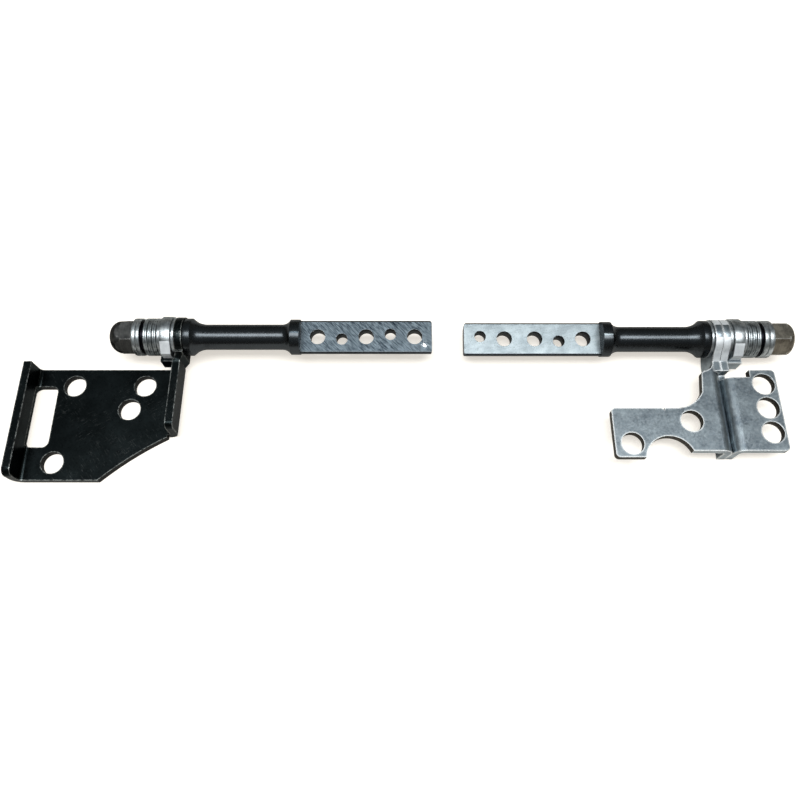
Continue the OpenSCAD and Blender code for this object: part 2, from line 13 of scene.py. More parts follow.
import bmesh
import bpy
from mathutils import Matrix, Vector


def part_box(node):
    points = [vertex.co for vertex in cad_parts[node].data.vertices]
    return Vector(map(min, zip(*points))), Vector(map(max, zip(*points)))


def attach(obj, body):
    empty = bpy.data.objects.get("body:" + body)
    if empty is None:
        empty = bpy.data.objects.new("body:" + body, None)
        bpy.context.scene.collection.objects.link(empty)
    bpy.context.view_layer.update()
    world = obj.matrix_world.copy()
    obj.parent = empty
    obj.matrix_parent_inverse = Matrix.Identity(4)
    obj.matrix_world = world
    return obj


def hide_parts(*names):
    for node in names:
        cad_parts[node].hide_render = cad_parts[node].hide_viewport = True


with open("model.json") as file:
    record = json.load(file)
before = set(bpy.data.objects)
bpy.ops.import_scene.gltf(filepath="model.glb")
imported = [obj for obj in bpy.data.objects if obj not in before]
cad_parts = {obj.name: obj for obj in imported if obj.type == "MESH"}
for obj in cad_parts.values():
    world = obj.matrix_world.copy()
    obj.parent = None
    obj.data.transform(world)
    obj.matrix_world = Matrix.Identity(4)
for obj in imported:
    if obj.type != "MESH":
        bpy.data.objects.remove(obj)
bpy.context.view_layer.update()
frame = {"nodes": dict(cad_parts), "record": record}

MM = 0.001
scene = bpy.context.scene

# %% [markdown]
# ## Where the hinge axes are
# Every disc spring is round and sits on its hinge axis, so the middle of its box gives
# the axis without a second copy of the CAD's sizes. Later steps need the axes to tell a
# rim from a plate. At rest the flat bars lean towards the front by ten degrees.

# %% Hinge axes
def middle(node):
    low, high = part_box(node)
    return (low + high) / 2


axis_of = {side: middle(side + "_disc_spring_1") for side in ("left", "right")}
bar_lean = math.radians(10)
print("axes", {side: tuple(round(c / MM, 2) for c in at) for side, at in axis_of.items()})

# %% [markdown]
# ## The camera
# The photograph was taken from the front, 68 degrees above the table, so close that the
# folded flanges show their sides. A lens of 32.4 mm on a 36 mm sensor gives the same
# perspective. The camera looks straight along Y with no roll, and stands a little to the
# left of the gap between the bars.

# %% Camera
look_down_deg = 68
left_of_gap_mm = 6.94
in_front_of_axis_mm = 47.4
above_table_mm = 97.6

camera_data = bpy.data.cameras.new("camera")
camera_data.sensor_width = 36
camera_data.lens = 32.4
camera_data.clip_start = 1 * MM
camera = bpy.data.objects.new("camera", camera_data)
scene.collection.objects.link(camera)
between_bars = (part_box("left_shaft")[1].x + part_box("right_shaft")[0].x) / 2
left_axis = axis_of["left"]
camera.location = (between_bars - left_of_gap_mm * MM,
                   left_axis.y - in_front_of_axis_mm * MM,
                   above_table_mm * MM)
camera.rotation_euler = (math.radians(90 - look_down_deg), 0, 0)
scene.camera = camera
print("camera", [round(c / MM, 2) for c in camera.location])

# %% [markdown]
# ## Building a material from nodes
# A plated part is never one flat colour. It could be painted by hand on a picture, but
# then the wear would stop at the picture's own sharpness, and every piece would need its
# own unfolding. Node recipes work on all pieces at any distance. The first three helpers
# start a material, add a node with its settings, and join two sockets.

# %% Nodes and links
def new_material(name):
    material = bpy.data.materials.new(name)
    material.use_nodes = True
    return material


def add_node(material, kind, **settings):
    node = material.node_tree.nodes.new(kind)
    for key, value in settings.items():
        setattr(node, key, value)
    return node


def join(material, source, target):
    material.node_tree.links.new(source, target)


print("helpers for nodes:", new_material.__name__, add_node.__name__, join.__name__)

# %% [markdown]
# ## Patterns that stay on the piece
# A pattern is laid on Object coordinates, which are the piece's own metres, so it moves
# with the hinge and has its real size. A Mapping node pulls it long for scratches and
# turns it to the direction of the wheel that ground the steel. The noise node wants the
# number of waves in a metre, so its helper takes the size of a blotch in millimetres.

# %% Patterns
def object_place(material, pull=(1, 1, 1), turn=0, move=(0, 0, 0)):
    """Object coordinates; a pattern laid on them is pulled long, then turned about Z."""
    where = add_node(material, "ShaderNodeTexCoord")
    mapping = add_node(material, "ShaderNodeMapping", vector_type="TEXTURE")
    mapping.inputs["Scale"].default_value = pull
    mapping.inputs["Rotation"].default_value = (0, 0, math.radians(turn))
    mapping.inputs["Location"].default_value = move
    join(material, where.outputs["Object"], mapping.inputs["Vector"])
    return mapping.outputs["Vector"]


def waves_in_a_metre(size_mm):
    return 1 / (size_mm * MM)


def noise(material, place, size_mm, detail=3.0, rough=0.55):
    node = add_node(material, "ShaderNodeTexNoise")
    node.inputs["Scale"].default_value = waves_in_a_metre(size_mm)
    node.inputs["Detail"].default_value = detail
    node.inputs["Roughness"].default_value = rough
    join(material, place, node.inputs["Vector"])
    return node.outputs["Fac"]


print("blotches of 3 mm and scratches of 0.05 mm:",
      [round(waves_in_a_metre(size)) for size in (3.0, 0.05)], "waves in a metre")

# %% [markdown]
# ## Masks
# Noise hovers round a middle grey, which makes a weak mask. Stretching a narrow range of
# it to the whole way from black to white gives clear patches, and a range far up leaves
# only thin streaks. Masks are then multiplied, added or compared, and a mask that should
# not cover wholly is made weaker by a share.

# %% Masks
def stretch(material, value, low, high, to_low=0.0, to_high=1.0):
    node = add_node(material, "ShaderNodeMapRange")
    node.inputs["From Min"].default_value = low
    node.inputs["From Max"].default_value = high
    node.inputs["To Min"].default_value = to_low
    node.inputs["To Max"].default_value = to_high
    join(material, value, node.inputs["Value"])
    return node.outputs["Result"]


def combine(material, operation, a, b):
    node = add_node(material, "ShaderNodeMath", operation=operation, use_clamp=True)
    for socket, value in zip(node.inputs, (a, b)):
        if isinstance(value, (int, float)):
            socket.default_value = value
        else:
            join(material, value, socket)
    return node.outputs["Value"]


def weaker(material, mask, share):
    return combine(material, "MULTIPLY", mask, share)


print("helpers for masks:", stretch.__name__, combine.__name__, weaker.__name__)

# %% [markdown]
# ## Colours
# A mask blends two colours, and the result goes into the next blend, as coats of paint
# do. Many second colours are only a darker or lighter tone of the first, so one helper
# multiplies a colour, and the two stay in step when the first is changed.

# %% Colours
def toned(colour, factor):
    return tuple(channel * factor for channel in colour)


def blend_colours(material, mask, first, second):
    node = add_node(material, "ShaderNodeMix", data_type="RGBA")
    join(material, mask, node.inputs["Factor"])
    colour_sockets = (node.inputs[6], node.inputs[7])
    for socket, value in zip(colour_sockets, (first, second)):
        if isinstance(value, tuple):
            socket.default_value = (*value, 1)
        else:
            join(material, value, socket)
    return node.outputs[2]


print("a mid grey at a third of its tone:", toned((0.5, 0.5, 0.5), 1 / 3))

# %% [markdown]
# ## Worn edges, painted highlights and seam shade
# Handling rubs the plating off the edges first, and the same mask also paints highlights
# and seam shade along some edges. The Bevel node gives the normal that the surface would
# have if its edges were rounded by some reach. On a flat face it is the same as the real
# normal. Near an edge the two part, and their dot product falls below one, so that
# product, stretched the other way round, is white only along the edges.

# %% Worn edges, painted highlights and seam shade
bevel_rays = 6
same_way = 0.99
turned_away = 0.86


def edge_mask(material, reach_mm):
    rounded = add_node(material, "ShaderNodeBevel", samples=bevel_rays)
    rounded.inputs["Radius"].default_value = reach_mm * MM
    real = add_node(material, "ShaderNodeNewGeometry")
    likeness = add_node(material, "ShaderNodeVectorMath", operation="DOT_PRODUCT")
    join(material, rounded.outputs["Normal"], likeness.inputs[0])
    join(material, real.outputs["Normal"], likeness.inputs[1])
    return stretch(material, likeness.outputs["Value"], same_way, turned_away)


print("an edge is fully worn where the normals part by",
      round(math.degrees(math.acos(turned_away))), "degrees")

# %% [markdown]
# ## The shader, and painted seam shade
# All finishes end in the Principled shader, nearly always as a metal. The rim value
# dims the reflection at grazing angles, where a clean metal would turn white, because
# these parts carry a film of oil. The simplest finish of all is the painted shade in the
# seam between the two ears of the right hinge: dark, dull, no metal.

# %% Shader and painted seam shade
def bump(material, height, depth_mm, strength):
    node = add_node(material, "ShaderNodeBump")
    node.inputs["Strength"].default_value = strength
    node.inputs["Distance"].default_value = depth_mm * MM
    join(material, height, node.inputs["Height"])
    return node.outputs["Normal"]


def shade(material, colour, rough, metallic=1.0, normal=None, rim=0.6):
    shader = material.node_tree.nodes["Principled BSDF"]
    shader.inputs["Metallic"].default_value = metallic
    shader.inputs["Specular Tint"].default_value = (rim, rim, rim, 1)
    for name, value in (("Base Color", colour), ("Roughness", rough)):
        if isinstance(value, tuple):
            shader.inputs[name].default_value = (*value, 1)
        elif isinstance(value, (int, float)):
            shader.inputs[name].default_value = value
        else:
            join(material, value, shader.inputs[name])
    if normal is not None:
        join(material, normal, shader.inputs["Normal"])
    return material


# Painted shade for the seam between the two ears.
seam_shade_tone = (0.012, 0.010, 0.008)
seam_shade = shade(new_material("painted seam shade"), seam_shade_tone, rough=0.5, metallic=0.0)
print("first finish:", seam_shade.name)

# %% [markdown]
# ## Scratches
# A fine scratch could be drawn as a thin curve on the mesh, but there are hundreds. It
# is easier to take noise, pull it very long in one direction and cut it at a high level,
# so that only thin streaks are left. A second, broad noise decides where streaks show at
# all, because wear comes in patches.

# %% Scratches
scratch_width_mm = 0.05
scratch_pull = 30.0
scratch_level = 0.66
sparse_scratch_level = 0.67
patches_elsewhere = (0.3, 0.1, 0.2)


def scratches(material, angle, level, patch_mm=5.0):
    along = object_place(material, pull=(scratch_pull, 1, 1), turn=angle)
    streaks = noise(material, along, scratch_width_mm, detail=1.0)
    thin = stretch(material, streaks, level, level + 0.05)
    moved = object_place(material, move=patches_elsewhere)
    patches = noise(material, moved, patch_mm, detail=1.0)
    return combine(material, "MULTIPLY", thin, stretch(material, patches, 0.45, 0.62))


print("scratches are", scratch_width_mm, "by", scratch_width_mm * scratch_pull, "mm")

# %% [markdown]
# ## Black plating
# The left bracket, both shafts and the dark rings are black plated: nearly black, glossy
# and slightly cloudy, with a cool tint. Grey scratches cross in two directions, and the
# plating wears off the edges to bare steel, which is also a little rougher than the
# plating. On the bracket that bare steel is pale, which also paints a highlight along the
# cut edges. One recipe makes all three, since only their tint and the amount of wear differ.

# %% Black plating
dull_grey = (0.16, 0.165, 0.16)


def black_plating(name, tint, gloss, wear, wear_mm=0.10, worn=dull_grey, cloudy=1.9):
    material = new_material(name)
    place = object_place(material)
    clouds = stretch(material, noise(material, place, 3.0, detail=5.0), 0.35, 0.7)
    fine = noise(material, place, 0.25, detail=4.0)
    colour = blend_colours(material, clouds, tint, toned(tint, cloudy))
    one_way = scratches(material, angle=35, level=scratch_level)
    other_way = scratches(material, angle=-50, level=sparse_scratch_level, patch_mm=7.0)
    marks = combine(material, "MAXIMUM", one_way, other_way)
    uneven = stretch(material, noise(material, place, 0.5, detail=4.0), 0.33, 0.55)
    # Edges: real bare steel, and with a pale tone also a painted highlight.
    rubbed_and_glint = combine(material, "MULTIPLY", edge_mask(material, wear_mm), uneven)
    worn_off_and_glint = combine(material, "MAXIMUM", weaker(material, marks, 0.25), rubbed_and_glint)
    colour = blend_colours(material, weaker(material, worn_off_and_glint, wear), colour, worn)
    rough = stretch(material, fine, 0.3, 0.7, gloss - 0.04, gloss + 0.06)
    rough = combine(material, "MAXIMUM", rough, weaker(material, rubbed_and_glint, 0.5))
    return shade(material, colour, rough,
                 normal=bump(material, fine, depth_mm=0.002, strength=0.4))


# The sheet's pale edge tone is bare steel and a painted highlight on the cut edges.
black_sheet = black_plating("black sheet", (0.008, 0.0105, 0.011), gloss=0.3, wear=0.62,
                            wear_mm=0.28, worn=(0.50, 0.52, 0.50))
black_shaft = black_plating("black shaft", (0.045, 0.050, 0.054), gloss=0.25, wear=0.3,
                            cloudy=1.25)
dark_ring = black_plating("dark ring", (0.006, 0.006, 0.008), gloss=0.3, wear=0.3,
                          wear_mm=0.05)
print("black finishes:", [m.name for m in (black_sheet, black_shaft, dark_ring)])

# %% [markdown]
# ## Zinc sheet
# The right brackets are zinc plated: a bluish grey with pale and dark mottles, fine dark
# specks and a paler grain, and almost white along the folds and the punched edges, which
# is real polish and also a painted highlight. The coats are blended in that order. The
# roughness follows the polish too, because a worn edge spreads the light and so shows
# bright from every side.

# %% Zinc sheet
mottle_dark = (0.18, 0.215, 0.245)
mottle_pale = (0.35, 0.405, 0.435)
speck_tone = (0.05, 0.055, 0.06)
grain_tone = (0.56, 0.61, 0.63)
polish_and_highlight = (0.95, 0.96, 0.95)
scratch_tone = (0.5, 0.52, 0.53)


def zinc_plating(name):
    material = new_material(name)
    place = object_place(material)
    clouds = noise(material, place, 2.2, detail=5.0, rough=0.60)
    colour = blend_colours(material, stretch(material, clouds, 0.35, 0.67),
                           mottle_dark, mottle_pale)
    specks = stretch(material, noise(material, place, 0.16, detail=2.0), 0.60, 0.70)
    colour = blend_colours(material, weaker(material, specks, 0.30), colour, speck_tone)
    grain = noise(material, place, 0.45, detail=4.0, rough=0.7)
    grain = stretch(material, grain, 0.40, 0.66)
    colour = blend_colours(material, weaker(material, grain, 0.28), colour, grain_tone)
    uneven = stretch(material, noise(material, place, 1.6, detail=2.0), 0.15, 0.40)
    # Polish and a painted highlight along the edges and folds.
    bright = combine(material, "MULTIPLY", edge_mask(material, 0.42), uneven)
    colour = blend_colours(material, bright, colour, polish_and_highlight)
    marks = scratches(material, angle=12, level=scratch_level)
    colour = blend_colours(material, weaker(material, marks, 0.5), colour, scratch_tone)
    fine = noise(material, place, 0.3, detail=5.0)
    rough = combine(material, "MAXIMUM", stretch(material, fine, 0.3, 0.7, 0.28, 0.42),
                    weaker(material, bright, 0.62))
    return shade(material, colour, rough, rim=0.8,
                 normal=bump(material, fine, depth_mm=0.004, strength=0.5))


zinc_sheet = zinc_plating("zinc sheet")
print("zinc finish:", zinc_sheet.name, "with", len(zinc_sheet.node_tree.nodes), "nodes")

# %% [markdown]
# ## Punched walls
# A punch shears the sheet, so the wall of a hole or the cut edge of a plate is torn,
# rough and never as bright as the faces. It gets a dull brownish steel with tear marks
# that run through the sheet's thickness, darkened further as painted shade, since these
# walls face away from the lamp, with only its rim a little brighter as a painted
# highlight. It is less metallic than the faces, so that it stays dark beside the bright
# table.

# %% Punched walls
def shaded_punched_wall(name, tint):
    material = new_material(name)
    tears = noise(material, object_place(material, pull=(1, 1, 7)), 0.12, detail=3.0)
    blotches = noise(material, object_place(material), 0.8, detail=3.0)
    mixed = combine(material, "MULTIPLY", stretch(material, tears, 0.3, 0.7),
                    stretch(material, blotches, 0.2, 0.6))
    colour = blend_colours(material, mixed, toned(tint, 0.4), tint)
    # A painted highlight along the rim of each wall.
    rim = weaker(material, edge_mask(material, 0.12), 0.5)
    colour = blend_colours(material, rim, colour, toned(tint, 5))
    return shade(material, colour, rough=0.55, metallic=0.6,
                 normal=bump(material, tears, depth_mm=0.01, strength=0.8))


# Dark tints: torn steel, darkened further as painted shade.
black_wall_in_shade = shaded_punched_wall("black punched wall in painted shade", (0.014, 0.013, 0.011))
zinc_wall_in_shade = shaded_punched_wall("zinc punched wall in painted shade", (0.085, 0.075, 0.06))
print("wall finishes:", black_wall_in_shade.name, "and", zinc_wall_in_shade.name)

# %% [markdown]
# ## A nick near the end of the left bar
# The photograph shows one small bright spot at the end of the left bar's flat, where the
# ground surface is chipped to bare steel. A dent in the mesh would be too shallow to show,
# so it is a mask: the distance from one point, made ragged by noise.

# %% Nick
nick_from_end_mm = 1.05
nick_in_front_mm = 1.28
nick_above_axis_mm = 0.08
nick_outer_mm = 0.36
nick_inner_mm = 0.22

left_bar_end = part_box("left_shaft")[1].x
nick_at = (left_bar_end - nick_from_end_mm * MM,
           left_axis.y - nick_in_front_mm * MM,
           left_axis.z + nick_above_axis_mm * MM)


def nick_mask(material, place):
    apart = add_node(material, "ShaderNodeVectorMath", operation="DISTANCE")
    join(material, place, apart.inputs[0])
    apart.inputs[1].default_value = nick_at
    ragged = noise(material, place, 0.22, detail=2.0)
    ragged = stretch(material, ragged, 0.35, 0.65, 0.6, 2.2)
    distance = combine(material, "MULTIPLY", apart.outputs["Value"], ragged)
    return stretch(material, distance, nick_outer_mm * MM, nick_inner_mm * MM)


print("nick at", [round(c / MM, 2) for c in nick_at], "mm")

# %% [markdown]
# ## Ground flats
# The bars are ground flat after plating, which bares bluish steel. The left one shows the
# diagonal lines of the grinding wheel, the right one is duller and speckled. One recipe
# mixes stretched lines with clouds, and line_share says how much of the pattern is lines.
# The same lines drive the bump, so they also glint as real grooves do.

# %% Ground flats
line_pull = 40
bare_steel = (0.75, 0.77, 0.78)


def ground_steel(name, dark, pale, angle, line_mm, line_share, nicked=False):
    material = new_material(name)
    along = object_place(material, pull=(line_pull, 1, 1), turn=angle)
    lines = noise(material, along, line_mm, detail=3.0, rough=0.6)
    place = object_place(material)
    clouds = noise(material, place, 1.6, detail=4.0)
    line_part = weaker(material, stretch(material, lines, 0.38, 0.62), line_share)
    cloud_part = weaker(material, stretch(material, clouds, 0.35, 0.65), 1 - line_share)
    grain = combine(material, "ADD", line_part, cloud_part)
    colour = blend_colours(material, grain, dark, pale)
    specks = stretch(material, noise(material, place, 0.14, detail=2.0), 0.58, 0.68)
    colour = blend_colours(material, weaker(material, specks, 0.5), colour, toned(dark, 0.3))
    bright = weaker(material, edge_mask(material, 0.08), 0.6)
    if nicked:
        bright = combine(material, "MAXIMUM", bright, nick_mask(material, place))
    colour = blend_colours(material, bright, colour, bare_steel)
    rough = stretch(material, lines, 0.3, 0.7, 0.30, 0.48)
    return shade(material, colour, rough,
                 normal=bump(material, lines, depth_mm=0.012, strength=0.7))


left_ground = ground_steel("left ground flat", (0.007, 0.012, 0.018), (0.132, 0.162, 0.182),
                           angle=-45, line_mm=0.13, line_share=0.78, nicked=True)
right_ground = ground_steel("right ground flat", (0.17, 0.20, 0.215), (0.29, 0.33, 0.345),
                            angle=12, line_mm=0.3, line_share=0.3)
print("ground finishes:", left_ground.name, "and", right_ground.name)

# %% [markdown]
# ## Turned steel
# Washers, springs and nuts are turned or stamped steel under a thin film of grease, so
# their rims carry fine grooves that run round the axis. The axis lies along X, so noise
# that is pulled long across X gives such grooves on every rim. Grease darkens patches of
# it. The nuts also get pale edges, partly real wear and partly a painted highlight on
# their corners, through the same mask as the plated parts.

# %% Turned steel
groove_mm = 0.06
groove_pull = 25
# Pale edge tone: wear and a painted highlight on the nuts' corners.
wear_and_highlight_tone = (0.95, 0.94, 0.90)


def turned_steel(name, dark, pale, gloss, film=0.35, rim=0.3, edges=0.0,
                 edge_tone=wear_and_highlight_tone, edge_mm=0.24):
    material = new_material(name)
    around = object_place(material, pull=(1, groove_pull, groove_pull))
    grooves = noise(material, around, groove_mm, detail=2.0)
    place = object_place(material)
    clouds = noise(material, place, 1.1, detail=4.0)
    groove_part = weaker(material, stretch(material, grooves, 0.3, 0.7), 0.5)
    cloud_part = weaker(material, stretch(material, clouds, 0.35, 0.65), 0.5)
    mixed = combine(material, "ADD", groove_part, cloud_part)
    colour = blend_colours(material, mixed, dark, pale)
    grease = stretch(material, noise(material, place, 0.6, detail=3.0), 0.52, 0.66)
    colour = blend_colours(material, weaker(material, grease, film), colour,
                           toned(dark, 0.35))
    rough = stretch(material, clouds, 0.3, 0.7, gloss, gloss + 0.14)
    if edges:
        along_edges = weaker(material, edge_mask(material, edge_mm), edges)
        colour = blend_colours(material, along_edges, colour, edge_tone)
        rough = combine(material, "MAXIMUM", rough, weaker(material, along_edges, 0.5))
    return shade(material, colour, rough, rim=rim,
                 normal=bump(material, grooves, depth_mm=0.006, strength=0.6))


bright_washer = turned_steel("bright washer", (0.24, 0.26, 0.27), (0.76, 0.80, 0.81),
                             gloss=0.28)
spring_steel = turned_steel("spring steel", (0.16, 0.18, 0.19), (0.76, 0.81, 0.82),
                            gloss=0.27, film=0.45)
dark_nut = turned_steel("dark nut", (0.045, 0.046, 0.046), (0.13, 0.13, 0.125),
                        gloss=0.3, film=0.3, edges=0.30)
bright_nut = turned_steel("bright nut", (0.26, 0.23, 0.19), (0.54, 0.485, 0.395),
                          gloss=0.26, edges=1.0)
turned_finishes = (bright_washer, spring_steel, dark_nut, bright_nut)
print("turned finishes:", [material.name for material in turned_finishes])

# %% [markdown]
# ## Burnished rims with a painted highlight
# The rims of the two grey ears and the front of each stop washer's lug rub on their
# neighbours, which polishes them; their nearly white tone is also a painted highlight.
# The recipe for turned steel does this too, with pale tones, almost no grease and a soft
# gloss that stays bright from all sides. Here the edge mask is dark: it paints the shade
# in the seam between the two ears.

# %% Burnished rims with a painted highlight
# Dark edge tone: painted shade in the seam between the ears.
seam_shade_edge_tone = (0.03, 0.03, 0.03)
# Nearly white: polish and a painted highlight.
burnish_and_highlight = turned_steel("burnished rim with painted highlight", (0.82, 0.85, 0.87), (0.97, 0.99, 1.0),
                         gloss=0.58, film=0.04, rim=1.0, edges=0.9, edge_tone=seam_shade_edge_tone,
                         edge_mm=0.16)
print("finishes in all:", len(bpy.data.materials))

# %% [markdown]
# ## Rounding the edges of a CAD piece
# A CAD solid has knife-sharp edges, which never catch the light. Real sheet is rounded
# by its punch and real rings are tumbled. The solid comes as loose triangles, so they are
# merged first, and flat faces are dissolved into one. Then every sharp edge gets a small
# bevel. A Bevel modifier could do it too, but the operator's new faces can be painted.

# %% Rounding
merge_mm = 0.0002
flat_within = math.radians(0.4)
sharp_beyond = math.radians(28)


def round_edges(bm, radius_mm, segments):
    bmesh.ops.remove_doubles(bm, verts=bm.verts, dist=merge_mm * MM)
    bmesh.ops.dissolve_limit(bm, angle_limit=flat_within, verts=bm.verts, edges=bm.edges)
    sharp = [e for e in bm.edges if e.is_manifold and e.calc_face_angle(0) > sharp_beyond]
    bmesh.ops.bevel(bm, geom=sharp, offset=radius_mm * MM, offset_type="OFFSET",
                    segments=segments, profile=0.5, affect="EDGES", material=-1,
                    clamp_overlap=True)
    return len(sharp)


print("edges of more than", round(math.degrees(sharp_beyond)), "degrees are rounded")

# %% [markdown]
# ## A finished piece in place of a CAD node
# Each node is copied, rounded and painted face by face with one of its materials. The
# copy rides on the body that the record gives for the node, so it turns with the shaft
# or stays with the bracket. Weighted normals keep the large faces flat in the shading,
# and let the small bevels between them carry all of the turn.

# %% Finished piece
def body_of_node(node):
    for body, members in frame["record"]["behaviour"]["bodies"].items():
        if node in members:
            return body
    raise KeyError(node)


def rounded_copy(node, radius_mm, materials, segments=2, paint=None):
    bm = bmesh.new()
    bm.from_mesh(frame["nodes"][node].data)
    edge_count = round_edges(bm, radius_mm, segments)
    for face in bm.faces:
        face.smooth = True
        face.material_index = paint(face) if paint else 0
    mesh = bpy.data.meshes.new(node + "_piece")
    bm.to_mesh(mesh)
    bm.free()
    for material in materials:
        mesh.materials.append(material)
    piece = bpy.data.objects.new(node + "_piece", mesh)
    scene.collection.objects.link(piece)
    piece.modifiers.new("flat faces stay flat", "WEIGHTED_NORMAL").keep_sharp = True
    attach(piece, body_of_node(node))
    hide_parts(node)
    print(f"{node}: {edge_count} edges rounded, {len(mesh.polygons)} faces")
    return piece


# %% [markdown]
# ## Left bracket
# The bracket is punched from 1.1 mm sheet and folded, and the punch rounds its edges by
# about a seventh of a millimetre. The plates take the black finish and the punched walls
# the dull one, darkened as painted shade. A face counts as punched when it stands upright
# and is about as tall as the sheet is thick, which holds for the holes too, and needs no
# list of faces.

# %% Left bracket
upright_below = 0.3
lowest_wall_mm = 0.55
highest_wall_mm = 1.15
left_sheet_rounding_mm = 0.14


def face_height_mm(face):
    heights = [v.co.z for v in face.verts]
    return (max(heights) - min(heights)) / MM


def is_punched(face):
    upright = abs(face.normal.z) < upright_below
    return upright and lowest_wall_mm < face_height_mm(face) < highest_wall_mm


def black_sheet_finish(face):
    return 1 if is_punched(face) else 0


rounded_copy("left_bracket", left_sheet_rounding_mm, [black_sheet, black_wall_in_shade], segments=3,
             paint=black_sheet_finish)

# %% [markdown]
# ## Right brackets
# The two zinc brackets stand back to back, so their ears make one rim of double width.
# A face is on that rim when it lies beyond 2.6 mm from the axis and not down on the web
# or the wing. There the faces that look outwards take the bright rim finish with its
# painted highlight, apart from the level ones on top, and the bevels at the sides of each
# ear take the painted seam shade.

# %% Right brackets
right_sheet_rounding_mm = 0.2
ear_from_axis_mm = 2.6
ear_lowest_mm = -2
ear_front_mm = -3.2
rim_tilt = 0.3
side_tilt = 0.97
level = 0.95


def on_ear(from_axis):
    radius_mm = math.hypot(from_axis.y, from_axis.z) / MM
    above_web = from_axis.z > ear_lowest_mm * MM
    behind_wing = from_axis.y > ear_front_mm * MM
    return radius_mm > ear_from_axis_mm and above_web and behind_wing


# Outward faces get a painted highlight, side bevels a painted seam shade.
def zinc_sheet_finish(face):
    if is_punched(face):
        return 1
    if not on_ear(face.calc_center_median() - axis_of["right"]):
        return 0
    tilt = abs(face.normal.x)
    if tilt <= rim_tilt:
        return 2 if face.normal.z < level else 0
    return 3 if tilt < side_tilt else 0


for layer in ("inner", "outer"):
    rounded_copy("right_" + layer + "_bracket", right_sheet_rounding_mm,
                 [zinc_sheet, zinc_wall_in_shade, burnish_and_highlight, seam_shade], segments=3,
                 paint=zinc_sheet_finish)

# %% [markdown]
# ## Shafts
# Each shaft is one piece with two finishes: black all round, and ground steel on the two
# flats of the bar. The flats could be cut out as pieces of their own, but on the real
# shaft there is no seam. They are found by the direction of their faces, which lean as
# the bars do, and by the half of the shaft that they are on.

# %% Shafts
shaft_rounding_mm = 0.06
same_direction = 0.999
bar_up = Vector((0, -math.sin(bar_lean), math.cos(bar_lean)))


def shaft_finish(side):
    towards_nut = -1 if side == "left" else 1
    half_way = middle(side + "_shaft").x

    def paint(face):
        on_bar = (face.calc_center_median().x - half_way) * towards_nut < 0
        return 1 if on_bar and abs(face.normal.dot(bar_up)) > same_direction else 0

    return paint


for side, ground in (("left", left_ground), ("right", right_ground)):
    rounded_copy(side + "_shaft", shaft_rounding_mm, [black_shaft, ground],
                 paint=shaft_finish(side))

# %% [markdown]
# ## The lug of a stop washer
# The stop washer's lug rests on the bracket's tongue, and its front is the brightest spot
# of each stack, painted as a highlight with the bright rim finish. It is told from the
# washer's other faces by its normal, which points to the front and hardly along the axis,
# and by its place in front of the axis.

# %% Stop washer's lug
faces_front_below = -0.57
along_axis_below = 0.3


def stop_washer_finish(side):
    axis = axis_of[side]

    # Front faces of the lug take the painted highlight.
    def paint(face):
        to_front = face.normal.y < faces_front_below
        across = abs(face.normal.x) < along_axis_below
        before_axis = face.calc_center_median().y - axis.y < 0
        return 1 if to_front and across and before_axis else 0

    return paint


print("a lug's front looks forward by at least",
      round(math.degrees(math.asin(-faces_front_below))), "degrees")

# %% [markdown]
# ## Torque stacks
# Washers, disc springs and spacer rings keep their CAD shape, since each is a solid of
# its own there. Their rims get a rounding that suits their thickness, so that each one
# shows as a bright line. The names of the nodes say which finish a ring takes.

# %% Torque stacks
spring_rounding_mm = 0.05
ring_rounding_mm = 0.08
washer_rounding_mm = 0.07

ring_count = 0
for node in sorted(frame["nodes"]):
    if "disc_spring" in node:
        rounded_copy(node, spring_rounding_mm, [spring_steel])
    elif "spacer_ring" in node:
        rounded_copy(node, ring_rounding_mm, [dark_ring])
    elif "stop_washer" in node:
        rounded_copy(node, washer_rounding_mm, [bright_washer, burnish_and_highlight],
                     paint=stop_washer_finish(node.split("_")[0]))
    elif "washer" in node:
        rounded_copy(node, washer_rounding_mm, [bright_washer])
    else:
        continue
    ring_count += 1
print("rings in both stacks:", ring_count)

# %% [markdown]
# ## Nuts
# The left nut is a dark cap nut with a round nose, the right one an open nut of a warm,
# brighter steel through which the shaft's end shows. Both are tumbled after cutting, so
# they get the largest rounding of the small parts, in three steps to look smooth.

# %% Nuts
nut_rounding_mm = 0.10

for side, nut_finish in (("left", dark_nut), ("right", bright_nut)):
    rounded_copy(side + "_nut", nut_rounding_mm, [nut_finish], segments=3)

# %% [markdown]
# ## Table
# The pair lies on a pale table. Its colour is a warm white, and the camera sees some
# light of its own added to it, so that it shows white where it is lit, and beige in the
# shade below the holes, as in the photograph. Reflections see only a little of that
# added light, which keeps the undersides of the shafts dark. The table lies a fiftieth of
# a millimetre low, since two faces in one plane would flicker where a bracket stands.

# %% Table
table_size = 2.0
table_drop_mm = 0.02
warm_white = (0.73, 0.70, 0.655, 1)
warm_glow = (1, 0.94, 0.86, 1)
glow_for_camera = 0.60
glow_in_reflections = 0.06

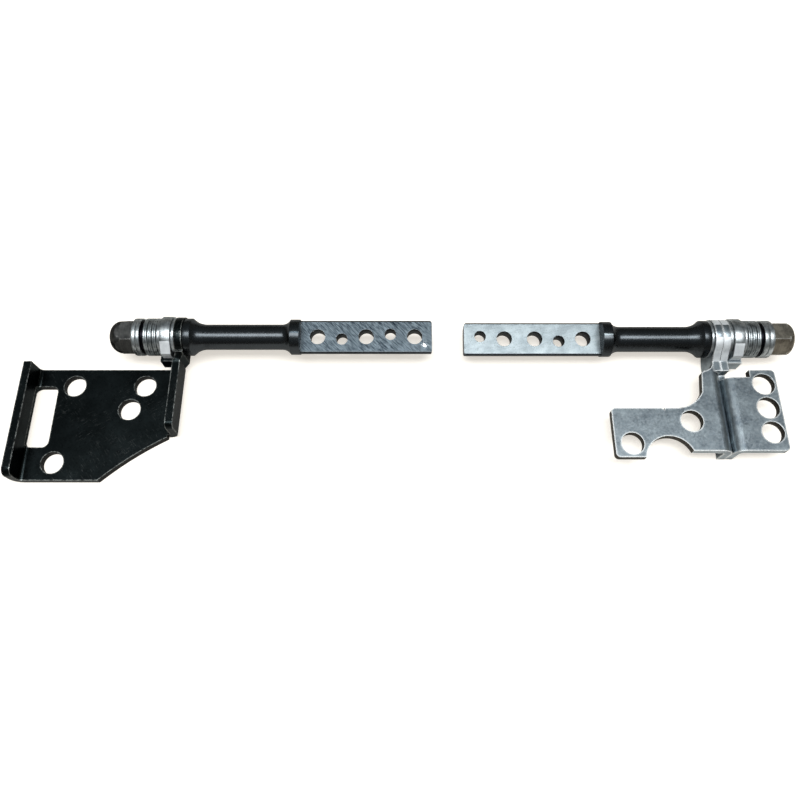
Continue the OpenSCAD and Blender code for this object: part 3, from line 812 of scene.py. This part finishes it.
bpy.ops.mesh.primitive_plane_add(size=table_size)
table = bpy.context.object
table.name = "table"
table.location.z = -table_drop_mm * MM
table_finish = new_material("table")
table_shader = table_finish.node_tree.nodes["Principled BSDF"]
table_shader.inputs["Base Color"].default_value = warm_white
table_shader.inputs["Roughness"].default_value = 0.9
table_shader.inputs["Emission Color"].default_value = warm_glow
path = add_node(table_finish, "ShaderNodeLightPath")
reflected = combine(table_finish, "MAXIMUM", path.outputs["Is Glossy Ray"],
                    path.outputs["Is Transmission Ray"])
glow = combine(table_finish, "ADD",
               weaker(table_finish, path.outputs["Is Camera Ray"], glow_for_camera),
               weaker(table_finish, reflected, glow_in_reflections))
join(table_finish, glow, table_shader.inputs["Emission Strength"])
table.data.materials.append(table_finish)
print("table of", table_size, "m,", table_drop_mm, "mm below the part")

# %% [markdown]
# ## The room
# The world is what the metal mirrors: warm and dim at the height of the table, cool and
# brighter overhead, as in a room with a window. It is weak, because the photograph's room
# was dark round the part. The camera itself sees plain white past the table's end.

# %% Room
room_strength = 0.24
low_tone = (0.50, 0.45, 0.38, 1)
overhead_tone = (0.85, 0.95, 1.0, 1)
overhead_from = 0.8

world = bpy.data.worlds.new("room")
scene.world = world
world.use_nodes = True
tree = world.node_tree
mirrored = tree.nodes["Background"]
mirrored.inputs["Strength"].default_value = room_strength
direction = tree.nodes.new("ShaderNodeTexCoord")
split = tree.nodes.new("ShaderNodeSeparateXYZ")
ramp = tree.nodes.new("ShaderNodeValToRGB")
ramp.color_ramp.elements[0].color = low_tone
ramp.color_ramp.elements[1].position = overhead_from
ramp.color_ramp.elements[1].color = overhead_tone
tree.links.new(direction.outputs["Generated"], split.inputs["Vector"])
tree.links.new(split.outputs["Z"], ramp.inputs["Fac"])
tree.links.new(ramp.outputs["Color"], mirrored.inputs["Color"])
print("room of strength", mirrored.inputs["Strength"].default_value)

# %% [markdown]
# ## White behind the table
# A second background is plain white at full strength. The Mix Shader takes it for the
# rays that leave the camera and the room for all others, so it puts no light on the part.

# %% White background
white = tree.nodes.new("ShaderNodeBackground")
white.inputs["Color"].default_value = (1, 1, 1, 1)
white.inputs["Strength"].default_value = 1.0
sky_path = tree.nodes.new("ShaderNodeLightPath")
either = tree.nodes.new("ShaderNodeMixShader")
tree.links.new(sky_path.outputs["Is Camera Ray"], either.inputs[0])
tree.links.new(mirrored.outputs["Background"], either.inputs[1])
tree.links.new(white.outputs["Background"], either.inputs[2])
tree.links.new(either.outputs["Shader"], tree.nodes["World Output"].inputs["Surface"])
print("world nodes", len(tree.nodes))

# %% [markdown]
# ## Lamp
# One wide, narrow lamp hangs over the pair and draws the long highlight on the shafts. It
# could be a round one, but its highlight would be a short spot. Its power grows with its
# area, so its brightness stays when its size changes.

# %% Lamp
lamp_place = (0, -0.034, 0.35)
lamp_width = 0.42
lamp_depth = 0.13
lamp_brightness = 8.5

lamp_data = bpy.data.lights.new("overhead", "AREA")
lamp_data.shape = "RECTANGLE"
lamp_data.size = lamp_width
lamp_data.size_y = lamp_depth
lamp_data.energy = lamp_brightness * math.pi * lamp_width * lamp_depth
lamp_data.color = (0.97, 0.99, 1.0)
lamp = bpy.data.objects.new("overhead", lamp_data)
lamp.location = lamp_place
lamp.rotation_euler = Vector(lamp_place).to_track_quat("Z", "Y").to_euler()
scene.collection.objects.link(lamp)
print("lamp of", round(lamp_data.energy, 2), "W")

# %% [markdown]
# ## Finish
# The Standard view shows colours as they are written.

# %% Finish
scene.view_settings.view_transform = "Standard"
